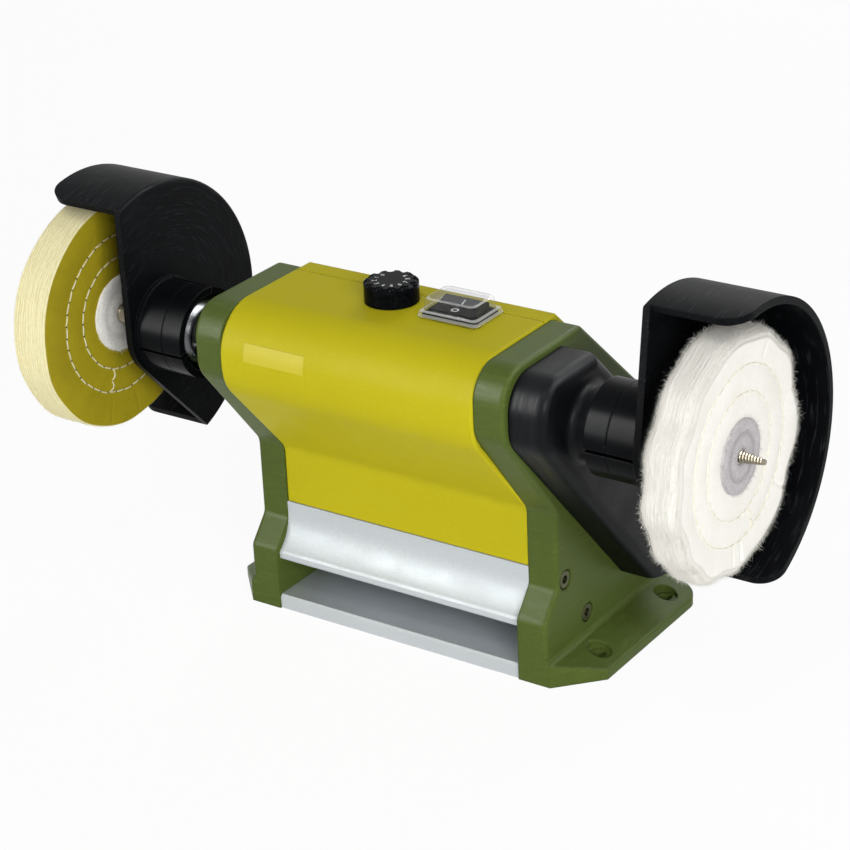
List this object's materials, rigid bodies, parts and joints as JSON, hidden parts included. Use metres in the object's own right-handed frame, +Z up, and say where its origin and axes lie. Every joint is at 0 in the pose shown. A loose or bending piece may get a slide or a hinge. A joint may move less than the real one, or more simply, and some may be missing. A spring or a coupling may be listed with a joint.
{
  "type": "dental polishing lathe",
  "caption": "Bench polishing lathe with a belt-driven tapered spindle at both ends, cloth buffs, swivelling half-round guards and a speed dial.",
  "frame": {"origin": "centre of the four foot holes, on the face that stands on the bench", "axes": "+X along the spindle to the belt cover's end, +Y to the back, +Z up"},
  "size_m": [0.3272, 0.146, 0.1777],
  "materials": {
    "olive_casting": "satin textured lacquer on die-cast aluminium",
    "mustard_lacquer": "satin lacquer on pressed sheet",
    "anodised": "satin natural anodised extrusion",
    "bottom_plate": "brushed",
    "cover_plastic": "semi-gloss moulded",
    "guard_plastic": "matte moulded",
    "neck_tube": "turned",
    "black_plastic": "moulded",
    "dial_plastic": "moulded, matt",
    "switch_plastic": "moulded, gloss",
    "rocker_plastic": "moulded, gloss",
    "black_screw": "black oxide",
    "steel": "machined",
    "bearing_steel": "ground",
    "spindle_steel": "turned",
    "pulley": "turned",
    "magnet": "sintered",
    "armature": "laminated core with enamelled winding",
    "carbon": "pressed carbon",
    "rubber": "moulded, matt",
    "brass": "plated",
    "board": "solder mask",
    "name_plate": "satin",
    "clear_plastic": "clear moulded",
    "yellow_cloth": "layered cloth, frayed rim",
    "white_cloth": "layered cotton, frayed rim",
    "hub_disc_left": "pressed fibre",
    "hub_disc_right": "pressed fibre"
  },
  "bodies": {
    "case": {"end_plate_left": "olive_casting", "end_plate_right": "olive_casting", "housing_shell": "mustard_lacquer", "rear_cover": "mustard_lacquer", "rear_screws": "black_screw", "seam_strip": "black_plastic", "name_plate": "name_plate", "skirt": "anodised", "bottom_plate": "bottom_plate", "bottom_screws": "steel", "case_screws": "black_screw", "belt_cover": "cover_plastic", "cover_screws": "black_screw", "neck_left": "neck_tube", "neck_screws": "steel", "bearing_left": "bearing_steel", "bearing_cap_left": "black_plastic", "bearing_right": "bearing_steel", "bearing_cap_right": "black_plastic", "drive_belt": "rubber", "motor_can": "steel", "motor_shield": "pulley", "motor_screws": "black_screw", "motor_magnets": "magnet", "motor_bearings": "bearing_steel", "motor_brushes": "carbon", "potentiometer": "steel", "pot_nut": "steel", "switch_body": "switch_plastic", "switch_pin": "steel", "switch_spades": "brass", "splash_cover": "clear_plastic", "board_bracket": "steel", "bracket_screws": "steel", "circuit_board": "board", "standoffs": "brass", "board_screws": "steel", "board_parts": "black_plastic", "cable_gland": "black_plastic", "gland_nut": "black_plastic"},
    "spindle": {"spindle": "spindle_steel", "spindle_pulley": "pulley", "buff_left": "yellow_cloth", "buff_right": "white_cloth", "hub_discs_left": "hub_disc_left", "hub_discs_right": "hub_disc_right"},
    "rotor": {"motor_shaft": "steel", "armature": "armature", "motor_fan": "black_plastic", "motor_pulley": "pulley"},
    "dial": {"speed_dial": "dial_plastic", "dial_shaft": "steel"},
    "rocker": {"rocker": "rocker_plastic"},
    "guard_left": {"guard_left": "guard_plastic"},
    "guard_right": {"guard_right": "guard_plastic"}
  },
  "joints": [
    {"name": "spindle_spin", "type": "hinge", "parent": "case", "child": "spindle", "pos_m": [0, -0.0467, 0.1172], "axis": [1, 0, 0], "continuous": true},
    {"name": "motor_spin", "type": "hinge", "parent": "case", "child": "rotor", "pos_m": [0, 0.0093, 0.054], "axis": [1, 0, 0], "continuous": true},
    {"name": "dial_turn", "type": "hinge", "parent": "case", "child": "dial", "pos_m": [-0.0048, -0.0374, 0.1446], "axis": [0, 0, 1], "range_deg": [-270, 0]},
    {"name": "rocker_tilt", "type": "hinge", "parent": "case", "child": "rocker", "pos_m": [0.0272, -0.0373, 0.144], "axis": [1, 0, 0], "range_deg": [-18, 0]},
    {"name": "guard_left_swivel", "type": "hinge", "parent": "case", "child": "guard_left", "pos_m": [-0.1142, -0.0467, 0.1172], "axis": [1, 0, 0], "continuous": true},
    {"name": "guard_right_swivel", "type": "hinge", "parent": "case", "child": "guard_right", "pos_m": [0.1214, -0.0467, 0.1172], "axis": [1, 0, 0], "continuous": true}
  ],
  "couplings": [
    {"joint": "motor_spin", "follows": "spindle_spin", "ratio": 2.5}
  ]
}
